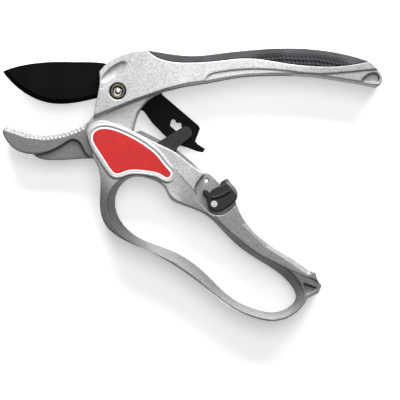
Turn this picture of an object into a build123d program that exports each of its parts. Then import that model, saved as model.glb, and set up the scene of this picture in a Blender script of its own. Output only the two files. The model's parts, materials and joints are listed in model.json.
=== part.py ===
from build123d import *
import math
import os

os.makedirs("parts", exist_ok=True)

# Ratchet pruning shears lying flat and open. X runs from the jaws to the handle ends, Y from the
# finger guard to the upper handle, Z through the thickness, with Z = 0 on the surface below.
# Outlines are drawn about the blade pivot, which stands at PIVOT from the origin.

# ---- driving dimensions, millimetres ----
PIVOT = (-41.40, 52.12)          # blade pivot, seen from the centre of the open outline
BODY = 19.0                     # thickness of both handles
MID = BODY / 2                  # the plane that the blade works in
BLADE = 3.0                     # blade and tang plate
BLADE_SLOT = 3.6                # slot that the blade swings in
WEB = 12.0                      # web and anvil between the cheeks
FORK = 12.6                     # gap between the cheeks of the lower handle
RIB = 8.0                       # thin rib under the anvil
CHANNEL = 7.8                   # channel that the ratchet link folds into
PALM_CHANNEL = CHANNEL + 1.2    # its wider mate under the upper handle
EAR = 10.0                      # ear that carries the lock lever
RUNNING = 0.05                  # radial clearance of a turning fit

GUARD_PIVOT = (-7.8, -26.5)     # lower handle turns on the frame here
LINK_PIVOT = (26.6, -36.8)      # ratchet link turns on the lower handle here
RATCHET_PIN = (37.9, -22.9)     # pin of the link in the notched slot of the tang
LOCK_PIVOT = (53.9, -62.9)      # lock lever turns on the ear here

BOLT_D, BOLT_HEAD_D, BOLT_HEAD_H = 6.0, 8.8, 3.0
BUSH_D = 8.0
HANDLE_PIN_D = 6.0
LINK_PIN_D = 3.0
RATCHET_PIN_D = 2.0
RIVET_D, RIVET_HEAD_D = 2.6, 3.6
LABEL_DEPTH, LABEL_T = 0.7, 0.5
SCOOP_DIR = (math.cos(math.radians(38)), math.sin(math.radians(38)), 0)
LABEL_BORDER = 1.0
TOOTH_PITCH, TOOTH_COUNT, TOOTH_R = 2.47, 17, 1.0
GROOVE_DEPTH = 3.8              # room for the closed edge of the blade in the anvil
TOOTH_START, ANVIL_LOW_X, ANVIL_LOW_Y, ANVIL_SAG = -20.0, -41.0, -23.3, 0.0105
LINK_W, LINK_PLATE = 6.8, 1.4
SPRING_R, SPRING_WIRE, SPRING_PITCH, SPRING_Z = 6.4, 1.1, 1.35, 4.2
LEVER_W = 17.4
RIVET_HEAD_H = 0.6
TAIL_SLOT = 4.2


def level(z):
    """Plane parallel to the ground at height z, centred on the blade pivot."""
    return Plane((PIVOT[0], PIVOT[1], z))


def about(point, z):
    """Plane at height z centred on a point given from the blade pivot."""
    return Plane((PIVOT[0] + point[0], PIVOT[1] + point[1], z))


def slab_z(thickness):
    """Lower level of a slab centred on the middle plane."""
    return MID - thickness / 2


# ---- outlines, from the blade pivot ----
HEAD_CORNER, HEAD_BROW, GRIP_START = (-13.5, -14.9), (-10.4, 10.6), (16.5, 23.1)
GRIP_END, HEEL_TOP, HEEL_LOW = (141.0, 16.7), (145.6, 12.0), (145.8, 2.8)
UNDERSIDE = [HEEL_LOW, (134.2, 5.3), (122.7, 7.1), (111.3, 8.8), (97.0, 9.6), (82.0, 9.5),
             (71.3, 8.9), (60.5, 7.3), (48.3, 5.0), (37.4, 3.3), (26.5, 0.5), (9.4, -5.4),
             HEAD_CORNER]


def upper_handle_outline():
    Spline(HEAD_CORNER, (-12.2, -6.7), (-10.5, 1.5), HEAD_BROW)
    Spline(HEAD_BROW, (-3.1, 17.9), (6.8, 21.9), GRIP_START)
    Spline(GRIP_START, (30.1, 20.9), (42.0, 19.9), (56.0, 21.2), (71.2, 22.9), (93.0, 24.2),
           (112.0, 23.3), (128.4, 20.5), GRIP_END)
    Spline(GRIP_END, HEEL_TOP, (148.0, 7.0), HEEL_LOW)
    Spline(*UNDERSIDE)


def grip_outline():
    Spline(GRIP_START, (21.1, 19.4), (27.7, 17.0), (38.0, 16.0), (50.0, 16.4), (60.5, 17.5),
           (71.3, 18.4), (82.7, 17.5), (95.3, 15.4), (108.4, 14.1), (120.0, 13.8), (133.0, 15.1),
           GRIP_END)
    Line(GRIP_END, (150.0, 24.0))
    Polyline((150.0, 24.0), (94.0, 34.0), (10.0, 34.0), GRIP_START)


ANVIL_TOP = [(-16.8, -17.2), (-23.2, -20.2), (-31.0, -22.9), (-40.5, -24.4), (-50.3, -23.3),
             (-58.2, -20.7), (-62.0, -19.4)]
ANVIL_NOSE = [(-62.0, -19.4), (-64.6, -21.7), (-62.9, -26.8), (-58.2, -31.9), (-48.2, -34.7)]
CREASE = [(-48.2, -34.7), (-38.0, -33.2), (-30.5, -29.3), (-25.0, -26.8), (-21.0, -29.2),
          (-18.3, -34.3), (-14.0, -37.0)]
RIB_BOTTOM = [(-48.2, -34.7), (-44.2, -37.3), (-38.0, -38.2), (-27.9, -37.9), (-14.0, -37.4)]
WEB_RIGHT = [(6.5, -27.5), (8.6, -21.4), (11.3, -12.3), (16.8, -5.4), (24.5, -0.6)]

LOOP_OUTER = [(106.1, -115.6), (99.0, -124.3), (89.0, -128.3), (77.3, -126.9), (65.6, -121.8),
              (50.0, -110.4), (34.8, -99.2), (17.9, -89.5), (1.5, -81.9), (-7.1, -74.2),
              (-9.9, -63.8), (-9.6, -51.5), (-13.8, -37.2)]
TOP_RIM = [(-17.5, -24.2), (-15.2, -18.8), (-9.3, -16.3), (-3.2, -17.4), (8.9, -22.4),
           (21.9, -29.0), (32.9, -34.6), (40.9, -41.0), (48.2, -45.6)]
BACK_RIM = [(8.9, -22.4), (12.6, -21.2), (23.5, -26.8), (33.1, -32.4), (43.5, -40.9), (48.2, -45.6)]
GRIP_TOP = [(66.2, -62.0), (71.6, -73.0), (84.1, -85.2), (94.4, -91.7), (106.8, -100.2)]
TAIL = [(106.8, -100.2), (110.6, -101.2), (111.8, -105.6), (114.2, -108.6), (112.3, -112.7),
        (106.1, -115.6)]
LOOP_MID = [(10.1, -47.6), (19.3, -49.4), (26.2, -54.4), (28.8, -59.6), (33.4, -62.6),
            (47.8, -68.3), (57.2, -76.4), (65.8, -85.2), (78.7, -94.4), (95.4, -106.8),
            (99.8, -116.0), (89.8, -123.6), (80.0, -122.9), (64.1, -115.9), (48.7, -101.6),
            (30.7, -89.4), (8.8, -80.0), (-1.5, -65.3), (1.2, -52.8)]
LOOP_FACE = [(9.6, -46.9), (20.0, -48.8), (27.0, -53.8), (29.8, -58.8), (34.2, -61.8),
             (50.0, -69.0), (61.5, -77.6), (70.1, -84.6), (78.7, -91.0), (99.4, -103.6),
             (104.0, -115.4), (89.5, -126.8), (79.2, -125.9), (61.6, -118.3), (44.8, -104.3),
             (27.4, -93.2), (5.0, -82.2), (-5.8, -64.5), (-1.7, -52.0)]
LABEL = [(-13.9, -26.0), (-12.5, -22.6), (-8.4, -21.0), (-3.3, -21.5), (5.6, -24.9), (14.8, -30.2),
         (22.4, -36.6), (27.4, -42.8), (29.7, -46.6), (28.6, -48.0), (24.0, -46.2), (18.0, -44.5),
         (11.1, -43.7), (4.5, -44.4), (1.0, -45.7), (-1.4, -45.7), (-3.6, -43.7), (-8.0, -37.3),
         (-12.2, -30.6)]


def label_outline(margin):
    """Closed outline of the label, grown outwards by a margin."""
    grown = []
    for i, (x, y) in enumerate(LABEL):
        before, after = LABEL[i - 1], LABEL[(i + 1) % len(LABEL)]
        along = (after[0] - before[0], after[1] - before[1])
        length = math.hypot(*along)
        grown.append((x - margin * along[1] / length, y + margin * along[0] / length))
    Spline(*grown, periodic=True)


# ================= frame body =================
# One die casting: upper handle, head, web and serrated anvil.
with BuildPart() as frame_casting:
    with BuildSketch(level(0)):
        with BuildLine():
            upper_handle_outline()
        make_face()
    extrude(amount=BODY)
    # web down to the guard pivot
    with BuildSketch(level(slab_z(WEB))):
        with BuildLine():
            Polyline((-12.6, -6.0), (-13.6, -13.0), ANVIL_TOP[0], (-19.0, -28.0), CREASE[-1],
                     (-7.8, -38.4), WEB_RIGHT[0])
            Spline(*WEB_RIGHT)
            Polyline(WEB_RIGHT[-1], (24.5, 4.0), (-8.0, 4.0), (-12.6, -6.0))
        make_face()
        with Locations(GUARD_PIVOT):
            Circle(12.0)
    extrude(amount=WEB)
    # anvil jaw
    with BuildSketch(level(slab_z(WEB))):
        with BuildLine():
            Spline(*ANVIL_TOP)
            Spline(*ANVIL_NOSE)
            Spline(*CREASE)
            Line(CREASE[-1], ANVIL_TOP[0])
        make_face()
    extrude(amount=WEB)
    with BuildSketch(level(slab_z(RIB))):
        with BuildLine():
            Spline(*RIB_BOTTOM)
            Polyline(RIB_BOTTOM[-1], (-14.0, -27.0), (-30.0, -25.5), RIB_BOTTOM[0])
        make_face()
    extrude(amount=RIB)
    # slot that the blade and its tang swing in
    with BuildSketch(level(slab_z(BLADE_SLOT))):
        Polygon((-30.0, 18.5), (-4.0, 17.6), (3.0, 14.8), (24.0, 16.0), (52.0, 9.0), (62.0, -4.0),
                (40.0, -32.0), (16.0, -14.0), (6.0, -13.6), (-7.0, -13.6), (-18.6, -19.6),
                (-30.0, -23.0), align=None)
    extrude(amount=BLADE_SLOT, mode=Mode.SUBTRACT)
    # groove along the anvil, where the edge of the blade lands
    with BuildSketch(level(slab_z(BLADE_SLOT))):
        with BuildLine():
            groove = [(x, y - GROOVE_DEPTH) for x, y in ANVIL_TOP]
            Spline(*groove)
            Polyline(groove[-1], (-66.0, groove[-1][1]), (-66.0, -10.0), (-16.8, -10.0),
                     groove[0])
        make_face()
    extrude(amount=BLADE_SLOT, mode=Mode.SUBTRACT)
    # channel under the upper handle, which takes the ratchet link when the handles close
    with BuildSketch(level(slab_z(PALM_CHANNEL))):
        Polygon((27.5, -8.0), (27.5, 9.0), (40.0, 11.0), (60.0, 11.0), (96.0, 13.0), (104.0, 0.0),
                align=None)
    extrude(amount=PALM_CHANNEL, mode=Mode.SUBTRACT)
    # recess for the rubber grip
    with BuildSketch(level(-1)):
        with BuildLine():
            grip_outline()
        make_face()
    extrude(amount=BODY + 2, mode=Mode.SUBTRACT)
    # sunken panels along both faces of the handle, and the end pockets
    for face_z, inward in ((BODY, -1), (0, 1)):
        with BuildSketch(level(face_z)):
            with BuildLine():
                Spline((48.2, 3.0), (50.2, 8.6), (57.5, 11.1), (77.0, 12.7), (94.0, 11.7),
                       (111.3, 9.9), (122.7, 10.4), (134.2, 11.5), (147.5, 12.6))
                Polyline((147.5, 12.6), (152.0, -2.0), (48.2, -2.0), (48.2, 3.0))
            make_face()
        extrude(amount=inward * 0.6, mode=Mode.SUBTRACT)
        with BuildSketch(level(face_z)):
            with BuildLine():
                Spline((136.3, 5.6), (139.2, 8.9), (142.4, 10.1), (145.0, 9.8), (146.3, 7.6),
                       (145.2, 5.0))
                Spline((145.2, 5.0), (141.0, 4.9), (136.3, 5.6))
            make_face()
        extrude(amount=inward * 3.0, mode=Mode.SUBTRACT)
        # scooped oval beside the pivot
        scoop = Plane((PIVOT[0] - 2.1, PIVOT[1] + 10.9, face_z - inward * 1.4), x_dir=SCOOP_DIR,
                      z_dir=(-SCOOP_DIR[1], SCOOP_DIR[0], 0))
        with BuildSketch(scoop):
            Ellipse(9.8, 3.3)
            with Locations((0, -5)):
                Rectangle(30, 10, mode=Mode.SUBTRACT)
        revolve(axis=Axis(scoop.origin, scoop.x_dir), mode=Mode.SUBTRACT)
    # serrations across the working edge of the anvil
    with BuildSketch(level(0)):
        for tooth in range(TOOTH_COUNT):
            x = TOOTH_START - tooth * TOOTH_PITCH
            y = ANVIL_LOW_Y + ANVIL_SAG * (x - ANVIL_LOW_X) ** 2
            with Locations((x, y)):
                Circle(TOOTH_R)
    extrude(amount=BODY, mode=Mode.SUBTRACT)
    # pivot bore with a head seat in front and a hexagonal nut seat behind
    with Locations((PIVOT[0], PIVOT[1], MID)):
        Cylinder(BOLT_D / 2, BODY + 2, mode=Mode.SUBTRACT)
    with BuildSketch(about((0, 0), BODY)):
        Circle(BOLT_HEAD_D / 2 + 0.3)
    extrude(amount=-BOLT_HEAD_H - 0.4, mode=Mode.SUBTRACT)
    with BuildSketch(about((0, 0), 0)):
        RegularPolygon(5.6, 6)
    extrude(amount=3.6, mode=Mode.SUBTRACT)
    # bore for the guard pivot bush, and the pocket of the return spring behind it
    with BuildSketch(about(GUARD_PIVOT, 0)):
        Circle(BUSH_D / 2)
    extrude(amount=BODY, mode=Mode.SUBTRACT)
    with BuildSketch(about(GUARD_PIVOT, slab_z(WEB))):
        Circle(8.2)
        with Locations((7.2, -SPRING_R)):
            Rectangle(5.6, 1.6)
    extrude(amount=5.2, mode=Mode.SUBTRACT)
frame_casting.part.label = "frame_casting"
export_step(frame_casting.part, "parts/frame_casting.step")

# Rubber grip bonded along the back of the upper handle.
with BuildPart() as grip_inlay:
    with BuildSketch(level(0.2)):
        with BuildLine():
            upper_handle_outline()
        make_face()
        with BuildLine():
            grip_outline()
        make_face(mode=Mode.INTERSECT)
    extrude(amount=BODY - 0.4)
grip_inlay.part.label = "grip_inlay"
export_step(grip_inlay.part, "parts/grip_inlay.step")

# Socket-head pivot bolt, from the front.
with BuildPart() as pivot_bolt:
    with BuildSketch(about((0, 0), 3.8)):
        Circle(BOLT_D / 2 - 0.04)
    extrude(amount=BODY - BOLT_HEAD_H - 0.4 - 3.8)
    with BuildSketch(about((0, 0), BODY - BOLT_HEAD_H - 0.4)):
        Circle(BOLT_HEAD_D / 2)
    extrude(amount=BOLT_HEAD_H)
    chamfer(pivot_bolt.faces().sort_by(Axis.Z)[-1].edges(), length=0.5)
    with BuildSketch(about((0, 0), BODY - 0.4)):
        RegularPolygon(2.5, 6)
    extrude(amount=-2.0, mode=Mode.SUBTRACT)
    with BuildSketch(about((0, 0), 0.8)):
        Circle(BOLT_D / 2 - 0.5)
    extrude(amount=3.2)
pivot_bolt.part.label = "pivot_bolt"
export_step(pivot_bolt.part, "parts/pivot_bolt.step")

# Lock nut in its hexagonal seat behind.
with BuildPart() as pivot_nut:
    with BuildSketch(about((0, 0), 0.4)):
        RegularPolygon(5.4, 6)
        Circle(BOLT_D / 2 - 0.5, mode=Mode.SUBTRACT)
    extrude(amount=3.2)
    chamfer(pivot_nut.faces().sort_by(Axis.Z)[0].outer_wire().edges(), length=0.4)
pivot_nut.part.label = "pivot_nut"
export_step(pivot_nut.part, "parts/pivot_nut.step")

# Bronze bush that the blade turns on.
with BuildPart() as pivot_bushing:
    with BuildSketch(about((0, 0), slab_z(BLADE_SLOT))):
        Circle(BUSH_D / 2)
        Circle(BOLT_D / 2, mode=Mode.SUBTRACT)
    extrude(amount=BLADE_SLOT)
pivot_bushing.part.label = "pivot_bushing"
export_step(pivot_bushing.part, "parts/pivot_bushing.step")

# Thin shims on both sides of the blade.
with BuildPart() as pivot_washers:
    for shim_z in (slab_z(BLADE_SLOT), MID + BLADE_SLOT / 2 - 0.22):
        with BuildSketch(about((0, 0), shim_z)):
            Circle(6.8)
            Circle(BUSH_D / 2, mode=Mode.SUBTRACT)
        extrude(amount=0.22)
pivot_washers.part.label = "pivot_washers"
export_step(pivot_washers.part, "parts/pivot_washers.step")

# Bronze bush pressed into the web at the guard pivot.
with BuildPart() as web_bushing:
    with BuildSketch(about(GUARD_PIVOT, slab_z(WEB))):
        Circle(BUSH_D / 2)
        Circle(HANDLE_PIN_D / 2 + RUNNING, mode=Mode.SUBTRACT)
    extrude(amount=WEB)
web_bushing.part.label = "web_bushing"
export_step(web_bushing.part, "parts/web_bushing.step")

# Torsion spring round the guard pivot, which opens the handles.
SPRING_RISE = SPRING_PITCH * 2.75
with BuildPart() as return_spring:
    with BuildLine(about(GUARD_PIVOT, SPRING_Z)) as coil_line:
        Helix(pitch=SPRING_PITCH, height=SPRING_RISE, radius=SPRING_R)
    with BuildSketch(Plane(coil_line.line @ 0, z_dir=coil_line.line % 0)):
        Circle(SPRING_WIRE / 2)
    sweep(path=coil_line.line)
    # end turned down into the rear cheek
    with BuildSketch(about((GUARD_PIVOT[0] + SPRING_R, GUARD_PIVOT[1]), 1.6)):
        Circle(SPRING_WIRE / 2 - 0.05)
    extrude(amount=SPRING_Z - 1.6 + 0.3)
    # straight end held in a notch of the web
    with BuildSketch(Plane((PIVOT[0] + GUARD_PIVOT[0] - 0.4, PIVOT[1] + GUARD_PIVOT[1] - SPRING_R,
                            SPRING_Z + SPRING_RISE), z_dir=(1, 0, 0))):
        Circle(SPRING_WIRE / 2 - 0.05)
    extrude(amount=9.6)
return_spring.part.label = "return_spring"
export_step(return_spring.part, "parts/return_spring.step")

# ================= blade body =================
SLOT_ENDS = ((31.1, -18.1), (37.4, -23.4))
SLOT_LOBES = ((30.9, -16.6), (34.2, -18.5), (37.4, -21.2))
EDGE = [(-11.7, -3.2), (-21.0, -5.3), (-30.8, -6.5), (-40.0, -5.8), (-50.2, -1.9), (-60.8, 6.3),
        (-65.2, 11.6)]
with BuildPart() as blade:
    with BuildSketch(level(slab_z(BLADE))):
        with BuildLine():
            Spline((8.5, -8.6), (4.0, -11.1), (0.0, -11.4), (-5.0, -8.2), EDGE[0])
            Spline(*EDGE)
            Spline(EDGE[-1], (-57.6, 14.3), (-49.2, 16.0), (-36.0, 17.1), (-22.0, 17.0),
                   (-6.1, 16.0), (4.0, 12.6), (14.0, 8.6), (25.0, -1.6))
            Polyline((25.0, -1.6), (45.2, -18.8), (46.0, -20.4), (43.3, -27.5), (44.6, -29.2),
                     (48.9, -31.9), (47.6, -33.9), (44.4, -33.3), (38.6, -31.1), (34.7, -30.0),
                     (26.5, -24.8), (19.2, -17.5), (14.2, -10.6), (8.5, -8.6))
        make_face()
    extrude(amount=BLADE)
    with BuildSketch(about((0, 0), slab_z(BLADE))):
        Circle(BUSH_D / 2 + RUNNING)
    extrude(amount=BLADE, mode=Mode.SUBTRACT)
    # notched slot that the ratchet pin steps along
    with BuildSketch(level(slab_z(BLADE))) as slot_shape:
        with Locations(*SLOT_ENDS):
            Circle(1.9)
        make_hull()
        with Locations(*SLOT_LOBES):
            Circle(1.35)
    extrude(amount=BLADE, mode=Mode.SUBTRACT)
    # bevel ground on both sides of the cutting edge
    for side in (1, -1):
        for height, inset in ((0.3, 0.0), (BLADE / 2 + 0.1, 2.8)):
            with BuildSketch(level(MID + side * height)):
                with BuildLine():
                    Spline(*[(x + inset * 0.4, y + inset) for x, y in EDGE])
                    Polyline((EDGE[-1][0] + inset * 0.4, EDGE[-1][1] + inset), (-72.0, 4.0),
                             (-60.0, -14.0), (-8.0, -14.0),
                             (EDGE[0][0] + inset * 0.4, EDGE[0][1] + inset))
                make_face()
        loft(mode=Mode.SUBTRACT)
blade.part.label = "blade"
export_step(blade.part, "parts/blade.step")

# ================= lower handle body =================
# One die casting: two cheeks round the web, hand grip, lock ear and finger guard.
with BuildPart() as lower_handle:
    with BuildSketch(level(0)):
        with BuildLine():
            Spline((-13.8, -37.2), (-15.6, -29.5), TOP_RIM[0])
            Spline(*TOP_RIM)
            Polyline(TOP_RIM[-1], (49.8, -45.2), (51.6, -45.9))
            Spline((51.6, -45.9), (56.2, -50.5), (61.0, -55.8), GRIP_TOP[0])
            Spline(*GRIP_TOP)
            Polyline(*TAIL)
            Spline(*LOOP_OUTER)
        make_face()
    extrude(amount=BODY)
    # rear cheek stands out beyond the front one along the top
    with BuildSketch(level(0)):
        with BuildLine():
            Polyline(BACK_RIM[0], BACK_RIM[1], BACK_RIM[2], BACK_RIM[3], BACK_RIM[4], BACK_RIM[5])
            Polyline(BACK_RIM[5], (30.0, -38.0), BACK_RIM[0])
        make_face()
    extrude(amount=(BODY - CHANNEL) / 2)
    # finger loop, widest at both faces
    for face_z in (0.0, BODY):
        with BuildSketch(level(MID)):
            with BuildLine():
                Spline(*LOOP_MID, periodic=True)
            make_face()
        with BuildSketch(level(face_z)):
            with BuildLine():
                Spline(*LOOP_FACE, periodic=True)
            make_face()
        loft(mode=Mode.SUBTRACT)
    # gap between the cheeks, which the web and the anvil root swing in
    with BuildSketch(level(slab_z(FORK))):
        Polygon((-25.0, -10.0), (-25.0, -38.7), (-10.0, -39.3), (-1.0, -39.0), (4.2, -37.2),
                (9.6, -34.2), (17.5, -29.6), (27.0, -28.2), (30.0, -10.0), align=None)
        with Locations(GUARD_PIVOT):
            Circle(12.6)
    extrude(amount=FORK, mode=Mode.SUBTRACT)
    # channel for the link, and the narrower slot that the tail of the tang enters
    with BuildSketch(level(slab_z(CHANNEL))):
        Polygon((12.0, -20.0), (12.0, -40.0), (20.0, -44.5), (34.0, -46.5), (42.0, -50.0),
                (47.0, -49.5), (52.0, -40.0), (34.0, -20.0), align=None)
    extrude(amount=CHANNEL, mode=Mode.SUBTRACT)
    with BuildSketch(level(slab_z(TAIL_SLOT))):
        Polygon((38.0, -42.0), (42.0, -52.0), (50.0, -56.0), (57.0, -56.0), (64.0, -52.0),
                (58.0, -40.0), align=None)
    extrude(amount=TAIL_SLOT, mode=Mode.SUBTRACT)
    # both faces sink to the thin ear that the lock lever straddles
    for face_z, inward in ((BODY, -1), (0, 1)):
        with BuildSketch(level(face_z)):
            with BuildLine():
                Spline((48.0, -46.6), (44.4, -51.0), (43.0, -54.6), (43.8, -59.2), (49.0, -65.2),
                       (51.6, -68.0))
                Spline((51.6, -68.0), (57.6, -69.2), (63.8, -65.4))
                Polyline((63.8, -65.4), (74.0, -58.0), (62.0, -40.0), (48.0, -43.0),
                         (48.0, -46.6))
            make_face()
        extrude(amount=inward * (BODY - EAR) / 2, mode=Mode.SUBTRACT)
        # seat of the label
        with BuildSketch(level(face_z)):
            with BuildLine():
                label_outline(LABEL_BORDER + 0.35)
            make_face()
        extrude(amount=inward * LABEL_DEPTH, mode=Mode.SUBTRACT)
        # triangular pocket at the end of the grip
        with BuildSketch(level(face_z)):
            Polygon((103.4, -107.0), (111.4, -110.0), (105.9, -113.4), align=None)
        extrude(amount=inward * 3.0, mode=Mode.SUBTRACT)
    with BuildSketch(about(GUARD_PIVOT, 0)):
        Circle(HANDLE_PIN_D / 2)
    extrude(amount=BODY, mode=Mode.SUBTRACT)
    with BuildSketch(about((GUARD_PIVOT[0] + SPRING_R, GUARD_PIVOT[1]), 1.4)):
        Circle(SPRING_WIRE / 2 + 0.15)
    extrude(amount=2.5, mode=Mode.SUBTRACT)
    with BuildSketch(about(LINK_PIVOT, 0)):
        Circle(LINK_PIN_D / 2)
    extrude(amount=16.6, mode=Mode.SUBTRACT)
    with BuildSketch(about(LOCK_PIVOT, 0)):
        Circle(RIVET_D / 2)
    extrude(amount=BODY, mode=Mode.SUBTRACT)
    with BuildSketch(about((49.5, -49.8), 0)):
        Circle(1.1)
    extrude(amount=BODY, mode=Mode.SUBTRACT)
lower_handle.part.label = "lower_handle"
export_step(lower_handle.part, "parts/lower_handle.step")

# Thin domed labels in their seats.
with BuildPart() as label_front:
    with BuildSketch(level(BODY - LABEL_DEPTH)):
        with BuildLine():
            label_outline(LABEL_BORDER)
        make_face()
    extrude(amount=LABEL_T)
label_front.part.label = "label_front"
export_step(label_front.part, "parts/label_front.step")

with BuildPart() as label_back:
    with BuildSketch(level(LABEL_DEPTH - LABEL_T)):
        with BuildLine():
            label_outline(LABEL_BORDER)
        make_face()
    extrude(amount=LABEL_T)
label_back.part.label = "label_back"
export_step(label_back.part, "parts/label_back.step")

# Pin pressed into both cheeks, hidden under the labels.
with BuildPart() as handle_pivot_pin:
    with BuildSketch(about(GUARD_PIVOT, LABEL_DEPTH + 0.1)):
        Circle(HANDLE_PIN_D / 2)
    extrude(amount=BODY - 2 * LABEL_DEPTH - 0.2)
handle_pivot_pin.part.label = "handle_pivot_pin"
export_step(handle_pivot_pin.part, "parts/handle_pivot_pin.step")

with BuildPart() as link_pin:
    with BuildSketch(about(LINK_PIVOT, 0.3)):
        Circle(LINK_PIN_D / 2)
    extrude(amount=16.2)
link_pin.part.label = "link_pin"
export_step(link_pin.part, "parts/link_pin.step")

# Rivet of the lock lever, headed on both sides.
with BuildPart() as lock_rivet:
    with BuildSketch(about(LOCK_PIVOT, 0.3)):
        Circle(RIVET_D / 2)
    extrude(amount=BODY - 0.6)
    for head_z in (0.15, BODY - 0.15 - RIVET_HEAD_H):
        with BuildSketch(about(LOCK_PIVOT, head_z)):
            Circle(RIVET_HEAD_D / 2)
        extrude(amount=RIVET_HEAD_H)
lock_rivet.part.label = "lock_rivet"
export_step(lock_rivet.part, "parts/lock_rivet.step")

# Spring washers that keep the lever from rattling.
with BuildPart() as lock_washers:
    for washer_z in (slab_z(EAR) - 0.2, MID + EAR / 2):
        with BuildSketch(about(LOCK_PIVOT, washer_z)):
            Circle(3.0)
            Circle(RIVET_D / 2, mode=Mode.SUBTRACT)
        extrude(amount=0.2)
lock_washers.part.label = "lock_washers"
export_step(lock_washers.part, "parts/lock_washers.step")

# Torsion spring on the link pin, which flicks the link to the next notch.
with BuildPart() as link_spring:
    with BuildLine(about(LINK_PIVOT, MID - 1.3)) as link_coil:
        Helix(pitch=0.85, height=2.6, radius=2.2)
    with BuildSketch(Plane(link_coil.line @ 0, z_dir=link_coil.line % 0)):
        Circle(0.3)
    sweep(path=link_coil.line)
link_spring.part.label = "link_spring"
export_step(link_spring.part, "parts/link_spring.step")

# ================= ratchet link body =================
with BuildPart() as ratchet_link:
    for plate_z in (MID - LINK_W / 2, MID + LINK_W / 2 - LINK_PLATE):
        with BuildSketch(level(plate_z)):
            Polygon((22.4, -28.2), (36.2, -19.75), (40.6, -25.3), (36.9, -28.2), (33.4, -31.0),
                    (32.2, -34.5), (30.4, -39.0), (22.8, -38.5), (21.2, -31.0), align=None)
            with Locations(RATCHET_PIN):
                Circle(3.6)
            with Locations(LINK_PIVOT):
                Circle(4.2)
                Circle(LINK_PIN_D / 2 + RUNNING, mode=Mode.SUBTRACT)
            with Locations(RATCHET_PIN):
                Circle(RATCHET_PIN_D / 2, mode=Mode.SUBTRACT)
        extrude(amount=LINK_PLATE)
    # folded back that joins the two plates
    with BuildSketch(level(MID - LINK_W / 2)):
        Polygon((21.2, -31.0), (22.5, -31.3), (24.1, -37.2), (22.8, -38.5), align=None)
    extrude(amount=LINK_W)
ratchet_link.part.label = "ratchet_link"
export_step(ratchet_link.part, "parts/ratchet_link.step")

with BuildPart() as ratchet_pin:
    with BuildSketch(about(RATCHET_PIN, MID - LINK_W / 2 - 0.4)):
        Circle(RATCHET_PIN_D / 2)
    extrude(amount=LINK_W + 0.8)
    for head_z in (MID - LINK_W / 2 - 0.5, MID + LINK_W / 2):
        with BuildSketch(about(RATCHET_PIN, head_z)):
            Circle(1.6)
        extrude(amount=0.5)
ratchet_pin.part.label = "ratchet_pin"
export_step(ratchet_pin.part, "parts/ratchet_pin.step")

# ================= lock lever body =================
EAR_GAP = EAR + 0.6
with BuildPart() as lock_lever:
    with BuildSketch(level(slab_z(LEVER_W))):
        with BuildLine():
            Spline((60.8, -51.3), (55.8, -53.3), (52.0, -55.8), (50.4, -59.4), (50.3, -63.2),
                   (52.0, -66.3), (56.0, -67.2), (60.4, -65.4), (66.4, -60.9))
            Spline((66.4, -60.9), (66.6, -58.4), (62.4, -51.9), (60.8, -51.3))
        make_face()
        with Locations((49.0, -56.4)):
            Circle(1.6)
        Polygon((50.1, -55.2), (53.5, -59.5), (51.2, -61.2), (47.8, -57.5), align=None)
    extrude(amount=LEVER_W)
    with BuildSketch(level(slab_z(LEVER_W - 2.4))):
        Polygon((57.3, -50.8), (61.2, -48.3), (63.7, -51.5), (66.1, -54.1), (67.2, -56.7),
                (67.0, -59.6), (60.0, -61.0), align=None)
    extrude(amount=LEVER_W - 2.4)
    # room for the ear, with the hook left standing outside it
    with BuildSketch(level(slab_z(EAR_GAP))):
        with Locations(LOCK_PIVOT):
            Circle(14.0)
        Polygon(LOCK_PIVOT, (62.6, -49.0), (63.0, -40.0), (40.0, -44.0), align=None)
    extrude(amount=EAR_GAP, mode=Mode.SUBTRACT)
    # curved rib that the thumb pushes on
    for rib_z in (slab_z(LEVER_W) - 0.3, MID + LEVER_W / 2):
        with BuildSketch(level(rib_z)):
            with BuildLine():
                Spline((52.6, -59.9), (57.0, -59.1), (60.6, -57.4), (63.2, -55.6))
                Line((63.2, -55.6), (62.9, -54.9))
                Spline((62.9, -54.9), (60.2, -56.6), (56.8, -58.2), (52.6, -59.2))
                Line((52.6, -59.2), (52.6, -59.9))
            make_face()
        extrude(amount=0.3)
    with BuildSketch(about(LOCK_PIVOT, 0)):
        Circle(RIVET_D / 2 + RUNNING)
    extrude(amount=BODY, mode=Mode.SUBTRACT)
lock_lever.part.label = "lock_lever"
export_step(lock_lever.part, "parts/lock_lever.step")
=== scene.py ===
import bmesh
import bpy
import json
import math
import numpy as np
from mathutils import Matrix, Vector


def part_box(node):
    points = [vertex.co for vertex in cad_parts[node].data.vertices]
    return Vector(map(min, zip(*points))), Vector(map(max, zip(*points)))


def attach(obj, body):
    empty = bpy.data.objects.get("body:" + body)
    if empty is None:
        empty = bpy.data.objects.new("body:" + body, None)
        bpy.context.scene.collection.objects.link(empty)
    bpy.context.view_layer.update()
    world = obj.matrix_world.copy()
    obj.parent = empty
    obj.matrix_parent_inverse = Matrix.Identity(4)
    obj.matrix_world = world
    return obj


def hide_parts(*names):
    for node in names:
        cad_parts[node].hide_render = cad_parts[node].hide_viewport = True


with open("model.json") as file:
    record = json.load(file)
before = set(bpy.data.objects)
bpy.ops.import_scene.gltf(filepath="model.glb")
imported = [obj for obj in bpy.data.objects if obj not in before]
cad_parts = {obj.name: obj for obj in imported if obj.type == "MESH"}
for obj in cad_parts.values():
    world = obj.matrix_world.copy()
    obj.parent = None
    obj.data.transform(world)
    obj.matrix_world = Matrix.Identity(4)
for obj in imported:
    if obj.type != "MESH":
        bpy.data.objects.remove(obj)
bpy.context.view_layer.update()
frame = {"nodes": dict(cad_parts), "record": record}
NODES = frame["nodes"]
MM = 0.001
JOINTS = {joint["name"]: joint for joint in frame["record"]["behaviour"]["joints"]}
PIVOT = np.array(JOINTS["blade_hinge"]["pos_m"])        # everything is placed from the blade pivot
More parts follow.
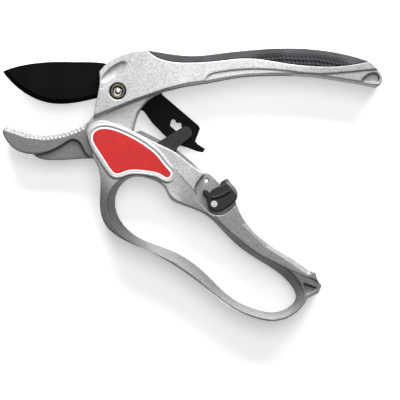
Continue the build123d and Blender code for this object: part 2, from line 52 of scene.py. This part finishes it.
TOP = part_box("frame_casting")[1][2]                     # front face of both handles
WEB_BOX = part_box("web_bushing")
WEB_FACES = (WEB_BOX[1][2], WEB_BOX[0][2])              # front and back of the web and the anvil

# ---- driving dimensions ----
CAST_VOXEL, GRIP_VOXEL, LEVER_VOXEL = 0.45 * MM, 0.4 * MM, 0.3 * MM     # how far edges melt round
BROW_DROP, BROW_SLOPE, BROW_REACH = 0.25 * MM, 0.05, 9 * MM
CREASE_DEPTH, CREASE_WIDTH = 0.3 * MM, 0.5 * MM
HEAD_BEVEL, HEAD_DROP = 0.95 * MM, 1.9 * MM
HANDLE_BEVEL, HANDLE_DROP = 0.5 * MM, 0.5 * MM
WEB_BEVEL, WEB_DROP = 1.0 * MM, 1.2 * MM
BACK_BEVEL, BACK_DROP = 2.2 * MM, 1.8 * MM
TOOTH_PITCH, TOOTH_BAND, TOOTH_DEPTH = 2.2 * MM, 2.6 * MM, 0.45 * MM
TOOTH_SLOPE, TOOTH_STEP, TOOTH_REACH = 0.75, 0.3 * MM, 3.6 * MM
GROUND_AND_HIGHLIGHT_WIDTH = 2.5 * MM                                 # anvil edge stretch, brighter: ground metal with a painted highlight
PALM_SLOPE, PALM_STEP = 0.12, 0.15 * MM                 # inner half of the lower handle
RIM_FROM, RIM_TO, RIM_HEIGHT = 1.5 * MM, 2.2 * MM, 0.55 * MM    # rim round the label
GRIP_CROWN, GRIP_CROWN_WIDTH = 0.34, 4.5 * MM
RIB_PITCH, RIB_DEPTH = 2.2 * MM, 0.45 * MM
STUD_PITCH, STUD_DEPTH = 2.4 * MM, 0.3 * MM
LABEL_EDGE, LABEL_BORDER, FIELD_EDGE = 0.2 * MM, 0.8 * MM, 0.15 * MM
LABEL_DOME, FIELD_RISE = 0.08 * MM, 0.06 * MM
HOOK_SIDE, HOOK_FROM = np.array((0.774, 0.632)), 14.9 * MM      # where the grey of the hook starts: hook metal with a painted highlight
BOLT_TURNS, SOCKET_RINGS = 48, 3
BOLT_RINGS = ((0.0, -0.5), (0.9, -0.62), (1.75, -0.95), (2.15, -1.3), (2.3, -0.25), (2.9, -0.05),
              (3.7, 0.0), (4.15, -0.12), (4.4, -0.55), (4.4, -3.0), (2.95, -3.0), (2.95, -14.8),
              (2.5, -14.8), (2.5, -17.8), (0.0, -17.8))         # radius, height from the top of the head
CAMERA_HEIGHT, VIEW_WIDTH, FILM = 1.0, 0.2255, 36.0
VIEW_CENTRE = (46.0 * MM, -60.7 * MM)                   # middle of the view from the blade pivot
FLOOR_HALF = 2.0


# ---------------- shapes ----------------

def path_mm(*points):
    """Points given in millimetres from the blade pivot, as metres in the row frame."""
    return np.array([(PIVOT[0] + x * MM, PIVOT[1] + y * MM) for x, y in points])


def distance_to(path, xy):
    """Signed distance of each point from an open path, positive on its left side."""
    best = np.full(len(xy), 1e9)
    sign = np.ones(len(xy))
    for a, b in zip(path[:-1], path[1:]):
        ab = b - a
        t = np.clip(((xy - a) @ ab) / (ab @ ab), 0, 1)
        away = xy - (a + t[:, None] * ab)
        d = np.hypot(away[:, 0], away[:, 1])
        side = np.where(ab[0] * (xy[:, 1] - a[1]) - ab[1] * (xy[:, 0] - a[0]) >= 0, 1.0, -1.0)
        closer = d < best
        best = np.where(closer, d, best)
        sign = np.where(closer, side, sign)
    return best * sign


def distance_round(loop, xy):
    """Distance of each point from a closed loop, positive outside it."""
    closed = np.vstack([loop, loop[:1]])
    away = np.abs(distance_to(closed, xy))
    inside = np.zeros(len(xy), bool)
    for a, b in zip(closed[:-1], closed[1:]):
        crosses = (a[1] > xy[:, 1]) != (b[1] > xy[:, 1])
        slope = (b[0] - a[0]) / (b[1] - a[1] if b[1] != a[1] else 1e-12)
        inside ^= crosses & (xy[:, 0] < a[0] + slope * (xy[:, 1] - a[1]))
    return np.where(inside, -away, away)


def joined_faces(mesh):
    """The mesh as a bmesh, with the triangles of each flat face joined into one face."""
    bm = bmesh.new()
    bm.from_mesh(mesh)
    bmesh.ops.remove_doubles(bm, verts=bm.verts, dist=1e-6)
    bmesh.ops.dissolve_limit(bm, angle_limit=math.radians(3), verts=bm.verts, edges=bm.edges)
    return bm


def outline_of(node):
    """Outline of the largest flat face of a CAD node, as an ordered loop."""
    bm = joined_faces(NODES[node].data)
    face = max(bm.faces, key=lambda f: abs(f.normal.z) * f.calc_area())
    loop = np.array([(v.co.x, v.co.y) for v in face.verts])
    bm.free()
    return loop


def smooth_step(x, low, high):
    t = np.clip((x - low) / (high - low), 0, 1)
    return t * t * (3 - 2 * t)


def new_object(name, mesh):
    ob = bpy.data.objects.new(name, mesh)
    bpy.context.scene.collection.objects.link(ob)
    return ob


def painted(ob, *finishes):
    """Gives the object these materials and no others. It comes before any face picks a material,
    because clearing the list sends every face back to the first one."""
    ob.data.materials.clear()
    for finish in finishes:
        ob.data.materials.append(finish)


def applied(ob):
    """The object, with its modifiers worked into its mesh."""
    bpy.context.view_layer.update()
    graph = bpy.context.evaluated_depsgraph_get()
    mesh = bpy.data.meshes.new_from_object(ob.evaluated_get(graph))
    old = ob.data
    ob.modifiers.clear()
    ob.data = mesh
    bpy.data.meshes.remove(old)
    return ob


def soft_copy(node, name, voxel, rounds):
    """A copy of a CAD node with its edges melted round, as a casting or moulding has them."""
    ob = new_object(name, NODES[node].data.copy())
    melt = ob.modifiers.new("melt", "REMESH")
    melt.mode = "VOXEL"
    melt.voxel_size = voxel
    relax = ob.modifiers.new("relax", "SMOOTH")
    relax.factor = 0.5
    relax.iterations = rounds
    applied(ob)
    ob.data.shade_smooth()
    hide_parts(node)
    return ob


def read_points(ob):
    points = np.empty(len(ob.data.vertices) * 3)
    ob.data.vertices.foreach_get("co", points)
    return points.reshape(-1, 3)


def write_points(ob, points):
    ob.data.vertices.foreach_set("co", points.ravel())
    ob.data.update()


def sink(points, depth, faces=(TOP, 0.0), reach=2.2 * MM):
    """Moves both faces of a casting inwards by depth, less and less down the walls."""
    z = points[:, 2]
    for face in faces:
        near = 1 - smooth_step(np.abs(z - face), 0.4 * MM, reach)
        inward = -1.0 if face > TOP / 2 else 1.0
        points[:, 2] = points[:, 2] + inward * depth * near


def edge_bevel(node, width, segments=2, bevel_highlight=None):
    """Rounds the sharp edges of a CAD node that is shown as it is, and can give the rounded faces a painted
    highlight.
    """
    ob = NODES[node]
    bevel = ob.modifiers.new("edge", "BEVEL")
    if bevel_highlight:
        ob.data.materials.append(bevel_highlight)
        bevel.material = len(ob.data.materials) - 1
    bevel.width = width
    bevel.segments = segments
    bevel.limit_method = "ANGLE"
    bevel.angle_limit = math.radians(35)
    bevel.harden_normals = True
    for face in ob.data.polygons:
        face.use_smooth = True


# ---------------- materials ----------------

def material(name):
    mat = bpy.data.materials.new(name)
    mat.use_nodes = True
    nodes = mat.node_tree.nodes
    return mat, nodes, mat.node_tree.links, nodes["Principled BSDF"]


def noise(nodes, links, scale, detail=3.0, rough=0.6):
    place = nodes.new("ShaderNodeTexCoord")
    tex = nodes.new("ShaderNodeTexNoise")
    tex.inputs["Scale"].default_value = scale
    tex.inputs["Detail"].default_value = detail
    tex.inputs["Roughness"].default_value = rough
    links.new(place.outputs["Object"], tex.inputs["Vector"])
    return tex.outputs["Fac"]


def ramp(nodes, links, source, stops):
    band = nodes.new("ShaderNodeValToRGB")
    links.new(source, band.inputs["Fac"])
    band.color_ramp.elements[0].position, band.color_ramp.elements[0].color = stops[0]
    band.color_ramp.elements[1].position, band.color_ramp.elements[1].color = stops[-1]
    for place, colour in stops[1:-1]:
        extra = band.color_ramp.elements.new(place)
        extra.color = colour
    return band.outputs["Color"]


def spread(nodes, links, source, low, high):
    reach = nodes.new("ShaderNodeMapRange")
    reach.inputs["To Min"].default_value = low
    reach.inputs["To Max"].default_value = high
    links.new(source, reach.inputs["Value"])
    return reach.outputs["Result"]


def bumped(nodes, links, shader, source, strength, distance):
    bump = nodes.new("ShaderNodeBump")
    bump.inputs["Strength"].default_value = strength
    bump.inputs["Distance"].default_value = distance
    links.new(source, bump.inputs["Height"])
    links.new(bump.outputs["Normal"], shader.inputs["Normal"])


def grey(value):
    return (value, value, value, 1.0)


def shade_of(colour, factor):
    return tuple(min(c * factor, 1.0) for c in colour) + (1.0,)


def mixed(nodes, links, factor, first, second, blend="MIX"):
    mix = nodes.new("ShaderNodeMix")
    mix.data_type = "RGBA"
    mix.blend_type = blend
    if isinstance(factor, float):
        mix.inputs["Factor"].default_value = factor
    else:
        links.new(factor, mix.inputs["Factor"])
    for socket, value in ((6, first), (7, second)):
        if isinstance(value, tuple):
            mix.inputs[socket].default_value = value
        else:
            links.new(value, mix.inputs[socket])
    return mix.outputs[2]


def along(nodes, links, start, end):
    """How far each point lies from start to end in the row frame, from 0 to 1, along their line."""
    start, end = np.array(start), np.array(end)
    run = end - start
    place = nodes.new("ShaderNodeTexCoord")
    shift = nodes.new("ShaderNodeVectorMath")
    shift.operation = "SUBTRACT"
    links.new(place.outputs["Object"], shift.inputs[0])
    shift.inputs[1].default_value = tuple(start)
    dot = nodes.new("ShaderNodeVectorMath")
    dot.operation = "DOT_PRODUCT"
    links.new(shift.outputs["Vector"], dot.inputs[0])
    dot.inputs[1].default_value = tuple(run / (run @ run))
    reach = nodes.new("ShaderNodeMapRange")
    reach.interpolation_type = "SMOOTHSTEP"
    links.new(dot.outputs["Value"], reach.inputs["Value"])
    return reach.outputs["Result"]


def at_mm(x, y, z=None):
    """A point given in millimetres from the blade pivot, in the row frame."""
    return (PIVOT[0] + x * MM, PIVOT[1] + y * MM, TOP / 2 if z is None else z * MM)


def facing(nodes, links):
    """1 on walls that face +Y in the row frame, 0 on those that face -Y, and 0.5 on flat faces: the mask
    that places painted shade and painted highlight on walls.
    """
    place = nodes.new("ShaderNodeTexCoord")
    split = nodes.new("ShaderNodeSeparateXYZ")
    links.new(place.outputs["Normal"], split.inputs["Vector"])
    reach = nodes.new("ShaderNodeMapRange")
    reach.inputs["From Min"].default_value = -1.0
    links.new(split.outputs["Y"], reach.inputs["Value"])
    return reach.outputs["Result"]


def cast_paint(name, level, metal, rough, shades, walls=None):
    """Metallic paint over a die casting: fine sparkle, soft mottling, and painted shade over listed
    stretches and walls.

    shades lists (start, end, grey before start, grey after end) of stretches made darker, and walls holds
    the tones painted on the walls that face -Y and on those that face +Y: below 1 a painted shade, above 1 a
    painted highlight."""
    mat, nodes, links, shader = material(name)
    sparkle = noise(nodes, links, 1500.0, 2.0, 0.7)
    mottle = noise(nodes, links, 160.0, 4.0, 0.6)
    colour = ramp(nodes, links, sparkle, [(0.30, grey(level * 0.58)), (0.5, grey(level)),
                                          (0.72, grey(level * 1.28))])
    cloud = ramp(nodes, links, mottle, [(0.3, grey(0.88)), (0.7, grey(1.0))])
    colour = mixed(nodes, links, 1.0, colour, cloud, "MULTIPLY")
    for start, end, before, after in shades:
        tone = mixed(nodes, links, along(nodes, links, start, end), grey(before), grey(after))
        colour = mixed(nodes, links, 1.0, colour, tone, "MULTIPLY")
    if walls:
        stops = [(0.1, grey(walls[0])), (0.42, grey(1.0)), (0.78, grey(1.0)), (0.94, grey(walls[1]))]
        tone = ramp(nodes, links, facing(nodes, links), stops)
        colour = mixed(nodes, links, 1.0, colour, tone, "MULTIPLY")
    links.new(colour, shader.inputs["Base Color"])
    links.new(spread(nodes, links, sparkle, rough - 0.08, rough + 0.12), shader.inputs["Roughness"])
    shader.inputs["Metallic"].default_value = metal
    bumped(nodes, links, shader, sparkle, 0.35, 0.00012)
    return mat


def rubber():
    """Soft dark grip with a fine grain and faint clouding."""
    mat, nodes, links, shader = material("grip_rubber")
    grain = noise(nodes, links, 1400.0, 3.0, 0.7)
    cloud = noise(nodes, links, 90.0, 3.0, 0.6)
    base = ramp(nodes, links, cloud, [(0.3, (0.016, 0.016, 0.019, 1)), (0.7, (0.036, 0.036, 0.043, 1))])
    links.new(base, shader.inputs["Base Color"])
    links.new(spread(nodes, links, grain, 0.42, 0.68), shader.inputs["Roughness"])
    shader.inputs["Specular IOR Level"].default_value = 0.28
    bumped(nodes, links, shader, grain, 0.5, 0.0002)
    return mat


def black_coat():
    """Non-stick coating of the blade."""
    mat, nodes, links, shader = material("blade_coat")
    grain = noise(nodes, links, 900.0, 3.0, 0.6)
    cloud = noise(nodes, links, 60.0, 4.0, 0.6)
    base = ramp(nodes, links, cloud, [(0.3, (0.0015, 0.0015, 0.0018, 1)), (0.7, (0.004, 0.004, 0.0045, 1))])
    links.new(base, shader.inputs["Base Color"])
    links.new(spread(nodes, links, grain, 0.42, 0.6), shader.inputs["Roughness"])
    shader.inputs["Specular IOR Level"].default_value = 0.05
    bumped(nodes, links, shader, grain, 0.15, 0.00005)
    return mat


def steel(name, colour, rough):
    """Bare or darkened metal with a fine grain."""
    mat, nodes, links, shader = material(name)
    grain = noise(nodes, links, 900.0, 4.0, 0.65)
    tones = [(0.3, shade_of(colour, 0.72)), (0.7, shade_of(colour, 1.15))]
    links.new(ramp(nodes, links, grain, tones), shader.inputs["Base Color"])
    links.new(spread(nodes, links, grain, rough - 0.07, rough + 0.1), shader.inputs["Roughness"])
    shader.inputs["Metallic"].default_value = 1.0
    bumped(nodes, links, shader, grain, 0.2, 0.00005)
    return mat


def gloss(name, colour, rough, variation=0.06):
    """Smooth printed plastic of the labels."""
    mat, nodes, links, shader = material(name)
    cloud = noise(nodes, links, 220.0, 3.0, 0.5)
    tones = [(0.35, shade_of(colour, 1 - variation)), (0.65, shade_of(colour, 1 + variation))]
    links.new(ramp(nodes, links, cloud, tones), shader.inputs["Base Color"])
    links.new(spread(nodes, links, cloud, rough - 0.03, rough + 0.05), shader.inputs["Roughness"])
    shader.inputs["Specular IOR Level"].default_value = 0.25
    bumped(nodes, links, shader, noise(nodes, links, 500.0), 0.06, 0.00005)
    return mat


def moulded(name, colour, rough):
    """Moulded nylon with a fine grain."""
    mat, nodes, links, shader = material(name)
    grain = noise(nodes, links, 1100.0, 3.0, 0.6)
    tones = [(0.3, shade_of(colour, 0.7)), (0.7, shade_of(colour, 1.0))]
    links.new(ramp(nodes, links, grain, tones), shader.inputs["Base Color"])
    links.new(spread(nodes, links, grain, rough - 0.06, rough + 0.1), shader.inputs["Roughness"])
    shader.inputs["Specular IOR Level"].default_value = 0.35
    bumped(nodes, links, shader, grain, 0.25, 0.0001)
    return mat


# upper casting paint: painted shade by stretch, and painted shade on the walls facing -Y (0.85) and +Y (0.6)
CAST = cast_paint("silver_cast", 0.58, 0.35, 0.42, (
    # darker over the anvil
    (at_mm(-13.0, -14.0), at_mm(-21.0, -20.0), 1.0, 0.42),
    # painted shade over the head
    (at_mm(40.0, 10.0), at_mm(8.0, 6.0), 1.0, 0.86),
    # painted shade towards the lower left of the head
    (at_mm(2.0, 4.0), at_mm(-10.0, -14.0), 1.0, 0.84),
    # painted shade towards the end of the handle
    (at_mm(80.0, 10.0), at_mm(120.0, 8.0), 1.0, 0.60)), (0.85, 0.6))
# lower casting paint: painted shade by stretch, painted shade on walls facing -Y (0.42) and painted
# highlight on walls facing +Y (1.6)
CAST_LOW = cast_paint("silver_cast_lower", 0.49, 0.35, 0.44, (
    # painted shade down the left side of the finger loop
    (at_mm(6.0, -50.0), at_mm(-9.0, -60.0), 1.0, 0.20),
    # painted shade towards the grip end of the handle
    (at_mm(38.0, -42.0), at_mm(60.0, -58.0), 1.0, 0.48),
    # painted shade on the deeper surfaces, fading in from 18 mm down to 13 mm height
    (at_mm(0.0, 0.0, 13.0), at_mm(0.0, 0.0, 18.0), 0.8, 1.0)), (0.42, 1.6))
# brighter paint for the anvil edge: ground metal with a painted highlight
GROUND_AND_HIGHLIGHT = cast_paint("ground_edge_and_highlight", 0.33, 0.3, 0.4, ())
RUBBER = rubber()
COAT = black_coat()
BRIGHT = steel("pivot_steel", (0.10, 0.087, 0.069), 0.3)
SOCKET = steel("socket_steel", (0.85, 0.84, 0.8), 0.22)
DARK = steel("dark_steel", (0.035, 0.035, 0.035), 0.36)
# painted highlight for the bevelled edges of the ratchet link
EDGE_HIGHLIGHT = steel("painted_edge_highlight", (0.55, 0.55, 0.55), 0.3)
RIVET = steel("rivet_steel", (0.5, 0.5, 0.5), 0.35)
WIRE = steel("spring_wire", (0.55, 0.55, 0.56), 0.3)
BRONZE = steel("bronze", (0.62, 0.42, 0.2), 0.35)
RED = gloss("label_red", (0.5, 0.012, 0.010), 0.3)
WHITE = gloss("label_white", (0.88, 0.88, 0.88), 0.3, 0.02)
NYLON = moulded("lock_nylon", (0.006, 0.006, 0.0065), 0.34)
# grey of the lock's hook: metal with a painted highlight
HOOK_METAL_AND_HIGHLIGHT = cast_paint("lock_hook_metal_and_highlight", 0.13, 0.4, 0.4, ())


# ---------------- castings ----------------

HEAD_LOW = path_mm((-14.2, -14.9), (9.4, -5.4), (26.5, 0.5), (37.4, 3.3), (48.3, 5.0))
HANDLE_LOW = path_mm((48.3, 5.0), (60.5, 7.3), (71.3, 8.9), (82.0, 9.5), (97.0, 9.6), (111.3, 8.8),
                     (122.7, 7.1), (134.2, 5.3), (145.8, 2.8))
ANVIL_EDGE = path_mm((-16.8, -17.2), (-23.2, -20.2), (-31.0, -22.9), (-40.5, -24.4), (-50.3, -23.3),
                     (-58.2, -20.7), (-62.0, -19.4))
WEB_EDGE = path_mm((6.5, -27.5), (8.6, -21.4), (11.3, -12.3), (16.8, -5.4), (24.5, -0.6))
HANDLE_BACK = path_mm((62.0, -56.8), (66.2, -62.0), (71.6, -73.0), (84.1, -85.2), (94.4, -91.7),
                      (106.8, -100.2))


def bevel_edge(points, edge, width, drop, faces=(TOP, 0.0)):
    """Slopes the faces down towards an edge, over a width beside it."""
    away = np.abs(distance_to(edge, points[:, :2]))
    sink(points, drop * (1 - np.clip(away / width, 0, 1)), faces, reach=drop + 2.0 * MM)


def frame_body():
    """Upper casting: dished brow and its crease, bevelled undersides, toothed anvil."""
    ob = soft_copy("frame_casting", "frame_casting_finished", CAST_VOXEL, 2)
    points = read_points(ob)
    xy = points[:, :2]
    # the brow beyond the fine crease falls away a little
    crease = path_mm((-12.0, 0.6), (-8.4, 1.9), (-1.6, 6.3), (2.3, 10.9), (5.4, 15.1), (8.6, 24.0))
    beyond = distance_to(crease, xy)
    brow = smooth_step(beyond, 0.0, CREASE_WIDTH) * (BROW_DROP + BROW_SLOPE * np.clip(beyond, 0, BROW_REACH))
    on_brow = (xy[:, 0] < PIVOT[0] + BROW_REACH) * (xy[:, 1] > PIVOT[1] + 0.5 * MM)
    sink(points, brow * on_brow)
    groove = np.abs(beyond) * (xy[:, 1] < PIVOT[1] + 22 * MM)
    sink(points, CREASE_DEPTH * (1 - smooth_step(groove, 0.15 * MM, CREASE_WIDTH)) * on_brow)
    bevel_edge(points, HEAD_LOW, HEAD_BEVEL, HEAD_DROP)
    bevel_edge(points, HANDLE_LOW, HANDLE_BEVEL, HANDLE_DROP)
    bevel_edge(points, WEB_EDGE, WEB_BEVEL, WEB_DROP, faces=WEB_FACES)
    anvil_teeth(points)
    write_points(ob, points)
    painted(ob, CAST, GROUND_AND_HIGHLIGHT)
    centres = np.empty(len(ob.data.polygons) * 3)
    ob.data.polygons.foreach_get("center", centres)
    centres = centres.reshape(-1, 3)
    # faces along the anvil edge get the brighter paint: ground metal with a painted highlight
    ground_and_highlight = np.abs(distance_to(ANVIL_EDGE, centres[:, :2])) < GROUND_AND_HIGHLIGHT_WIDTH
    ground_and_highlight &= centres[:, 0] < PIVOT[0] - 18.0 * MM
    ob.data.polygons.foreach_set("material_index", ground_and_highlight.astype(np.int32))
    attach(ob, "frame")


def anvil_teeth(points):
    """Bevels both edges of the anvil and presses two rows of scallops into each bevel."""
    away = np.abs(distance_to(ANVIL_EDGE, points[:, :2]))
    phase = (points[:, 0] - PIVOT[0]) / TOOTH_PITCH * 2 * math.pi
    outer = away < TOOTH_BAND / 2
    row = np.where(outer, np.cos(phase), np.cos(phase + math.pi))
    inside = TOOTH_BAND - away
    band = smooth_step(inside, 0.0, TOOTH_STEP) * (points[:, 0] < PIVOT[0] - 17.0 * MM)
    drop = band * (TOOTH_STEP + TOOTH_SLOPE * inside.clip(0) + TOOTH_DEPTH * row)
    for face, inward in zip(WEB_FACES, (-1.0, 1.0)):
        near = 1 - smooth_step(np.abs(points[:, 2] - face), 0.6 * MM, TOOTH_REACH)
        points[:, 2] += inward * drop * near


def lower_body():
    """Lower casting: sloped palm, bevelled back, and the rim that stands round the label."""
    ob = soft_copy("lower_handle", "lower_handle_finished", CAST_VOXEL, 2)
    points = read_points(ob)
    xy = points[:, :2]
    # the inner half of the handle slopes down towards the finger loop
    crease = path_mm((106.0, -103.6), (91.6, -97.6), (74.9, -89.0), (62.0, -78.5), (51.0, -64.6),
                     (42.3, -54.6), (32.0, -43.8), (25.0, -34.0))
    slope = distance_to(crease, xy)
    right = smooth_step(xy[:, 0], PIVOT[0] + 26 * MM, PIVOT[0] + 36 * MM)
    sink(points, smooth_step(slope, 0.0, 0.4 * MM) * PALM_STEP * right
         + PALM_SLOPE * np.clip(slope, 0, 9 * MM) * right)
    bevel_edge(points, HANDLE_BACK, BACK_BEVEL, BACK_DROP)
    # a raised rim stands round the label, and the rest of the cheek lies lower
    from_label = distance_round(outline_of("label_front"), xy)
    cheek = 1 - smooth_step(xy[:, 0], PIVOT[0] + 26 * MM, PIVOT[0] + 34 * MM)
    sink(points, RIM_HEIGHT * smooth_step(from_label, RIM_FROM, RIM_TO) * cheek)
    write_points(ob, points)
    painted(ob, CAST_LOW)
    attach(ob, "lower_handle")


def grip():
    """Soft grip: crowned towards its back, with ribs and studs across the palm stretch."""
    ob = soft_copy("grip_inlay", "grip_inlay_finished", GRIP_VOXEL, 3)
    points = read_points(ob)
    back = path_mm((16.5, 23.1), (30.1, 20.9), (42.0, 19.9), (56.0, 21.2), (71.2, 22.9),
                   (93.0, 24.2), (112.0, 23.3), (128.4, 20.5), (141.0, 16.7))
    from_back = np.abs(distance_to(back, points[:, :2]))
    faces = (TOP - 0.2 * MM, 0.2 * MM)
    sink(points, GRIP_CROWN * (GRIP_CROWN_WIDTH - from_back).clip(0), faces, reach=4.0 * MM)
    # fine ribs across the palm stretch, broken into studs, and only on the seam side
    x, y = points[:, 0], points[:, 1]
    stretch = smooth_step(x, PIVOT[0] + 72 * MM, PIVOT[0] + 78 * MM)
    stretch = stretch * (1 - smooth_step(x, PIVOT[0] + 122 * MM, PIVOT[0] + 132 * MM))
    wave = 0.5 + 0.5 * np.cos((x + 0.35 * y) / RIB_PITCH * 2 * math.pi)
    studs = 0.5 + 0.5 * np.cos(from_back / STUD_PITCH * 2 * math.pi)
    lower = smooth_step(from_back, 2.6 * MM, 3.6 * MM)
    sink(points, stretch * lower * (RIB_DEPTH * wave + STUD_DEPTH * studs), faces)
    write_points(ob, points)
    painted(ob, RUBBER)
    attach(ob, "frame")


def label(node, face_up):
    """White-edged label with a raised red field, made from the outline of the CAD plate."""
    ob = new_object(node + "_printed", NODES[node].data.copy())
    painted(ob, WHITE, RED)
    bm = joined_faces(ob.data)
    up = 1.0 if face_up else -1.0
    outer = max((f for f in bm.faces if f.normal.z * up > 0.9), key=lambda f: f.calc_area())
    for face in bm.faces:
        face.material_index = 0
    bmesh.ops.inset_region(bm, faces=[outer], thickness=LABEL_EDGE, depth=LABEL_DOME)
    bmesh.ops.inset_region(bm, faces=[outer], thickness=LABEL_BORDER, depth=0.0)
    outer.material_index = 1
    rim = bmesh.ops.inset_region(bm, faces=[outer], thickness=FIELD_EDGE, depth=FIELD_RISE)
    for face in rim["faces"]:
        face.material_index = 1
    bm.to_mesh(ob.data)
    bm.free()
    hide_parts(node)
    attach(ob, "lower_handle")


def lock():
    """Lock lever: black moulded thumb piece, with the grey of its hook behind: hook metal with a painted
    highlight.
    """
    ob = soft_copy("lock_lever", "lock_lever_finished", LEVER_VOXEL, 3)
    painted(ob, NYLON, HOOK_METAL_AND_HIGHLIGHT)
    edge = PIVOT[:2] @ HOOK_SIDE + HOOK_FROM
    for face in ob.data.polygons:
        if face.center.x * HOOK_SIDE[0] + face.center.y * HOOK_SIDE[1] > edge:
            face.material_index = 1
    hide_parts("lock_lever")
    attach(ob, "lock_lever")


def ring(bm, radius, z):
    """Points of a circle about the blade pivot, or one point where the radius is nought."""
    turns = BOLT_TURNS if radius else 1
    angles = [k / turns * 2 * math.pi for k in range(turns)]
    return [bm.verts.new((PIVOT[0] + radius * math.cos(a), PIVOT[1] + radius * math.sin(a), z))
            for a in angles]


def bolt():
    """Pivot bolt: a brown worn head round a bright turned socket, with its stepped shank."""
    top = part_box("pivot_bolt")[1][2]
    bm = bmesh.new()
    rows = [ring(bm, radius * MM, top + z * MM) for radius, z in BOLT_RINGS]
    for index, (inner, outer) in enumerate(zip(rows[:-1], rows[1:])):
        for k in range(BOLT_TURNS):
            after = (k + 1) % BOLT_TURNS
            corners = [inner[k % len(inner)], outer[k % len(outer)], outer[after % len(outer)],
                       inner[after % len(inner)]]
            face = bm.faces.new(list(dict.fromkeys(corners)))
            face.smooth = True
            face.material_index = 1 if index < SOCKET_RINGS else 0
    bmesh.ops.recalc_face_normals(bm, faces=bm.faces)
    ob = new_object("pivot_bolt_head", bpy.data.meshes.new("pivot_bolt_head"))
    painted(ob, BRIGHT, SOCKET)
    bm.to_mesh(ob.data)
    bm.free()
    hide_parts("pivot_bolt")
    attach(ob, "frame")


frame_body()
lower_body()
grip()
label("label_front", True)
label("label_back", False)
lock()
bolt()

FINISHES = {
    "blade": COAT, "ratchet_link": DARK, "ratchet_pin": DARK, "link_pin": DARK,
    "pivot_nut": BRIGHT, "handle_pivot_pin": BRIGHT, "lock_rivet": RIVET,
    "pivot_bushing": BRONZE, "web_bushing": BRONZE, "pivot_washers": WIRE, "lock_washers": WIRE,
    "return_spring": WIRE, "link_spring": WIRE,
}
for node, finish in FINISHES.items():
    mesh = NODES[node].data
    if not mesh.materials:
        mesh.materials.append(finish)
    for index in range(len(mesh.materials)):
        mesh.materials[index] = finish
edge_bevel("blade", 0.12 * MM)
# the link's bevels carry a painted highlight
edge_bevel("ratchet_link", 0.3 * MM, bevel_highlight=EDGE_HIGHLIGHT)
edge_bevel("lock_rivet", 0.18 * MM, 3)
edge_bevel("ratchet_pin", 0.15 * MM, 3)


# ---------------- stage ----------------

def soft_light(name, place, size, power):
    """Rectangular lamp that points at the origin."""
    lamp = bpy.data.lights.new(name, "AREA")
    lamp.shape = "RECTANGLE"
    lamp.size, lamp.size_y = size
    lamp.energy = power
    ob = bpy.data.objects.new(name, lamp)
    bpy.context.scene.collection.objects.link(ob)
    ob.location = place
    ob.rotation_euler = (-Vector(place)).to_track_quat("-Z", "Y").to_euler()


def floor():
    """Pale matt floor, lit a little from within so that it stays near white."""
    mesh = bpy.data.meshes.new("floor")
    corners = [(x * FLOOR_HALF, y * FLOOR_HALF, 0) for x, y in ((-1, -1), (1, -1), (1, 1), (-1, 1))]
    mesh.from_pydata(corners, [], [(0, 1, 2, 3)])
    ob = new_object("floor", mesh)
    mat, _, _, shader = material("floor_pale")
    shader.inputs["Base Color"].default_value = (0.93, 0.93, 0.93, 1)
    shader.inputs["Roughness"].default_value = 0.9
    shader.inputs["Emission Color"].default_value = (1.0, 1.0, 1.0, 1)
    shader.inputs["Emission Strength"].default_value = 0.45
    mesh.materials.append(mat)


def camera():
    """Looks straight down on the shears."""
    data = bpy.data.cameras.new("camera")
    ob = bpy.data.objects.new("camera", data)
    bpy.context.scene.collection.objects.link(ob)
    data.sensor_width = FILM
    data.lens = FILM * (CAMERA_HEIGHT - 0.5 * TOP) / VIEW_WIDTH
    ob.location = (PIVOT[0] + VIEW_CENTRE[0], PIVOT[1] + VIEW_CENTRE[1], CAMERA_HEIGHT)
    bpy.context.scene.camera = ob


def room():
    """Soft white room, brightest above and beyond the upper handle."""
    world = bpy.data.worlds.new("soft_room")
    bpy.context.scene.world = world
    world.use_nodes = True
    nodes, links = world.node_tree.nodes, world.node_tree.links
    place = nodes.new("ShaderNodeTexCoord")
    dot = nodes.new("ShaderNodeVectorMath")
    dot.operation = "DOT_PRODUCT"
    links.new(place.outputs["Generated"], dot.inputs[0])
    dot.inputs[1].default_value = (0.15, 0.85, 0.5)
    reach = nodes.new("ShaderNodeMapRange")
    reach.inputs["From Min"].default_value = -1.0
    reach.inputs["To Min"].default_value = 0.2
    reach.inputs["To Max"].default_value = 1.35
    links.new(dot.outputs["Value"], reach.inputs["Value"])
    links.new(reach.outputs["Result"], nodes["Background"].inputs["Strength"])


floor()
camera()
room()
soft_light("key", (0.14, 0.95, 0.45), (1.2, 0.5), 27.0)
soft_light("overhead", (0.1, 0.45, 1.4), (1.2, 1.0), 11.0)
bpy.context.scene.view_settings.view_transform = "Standard"
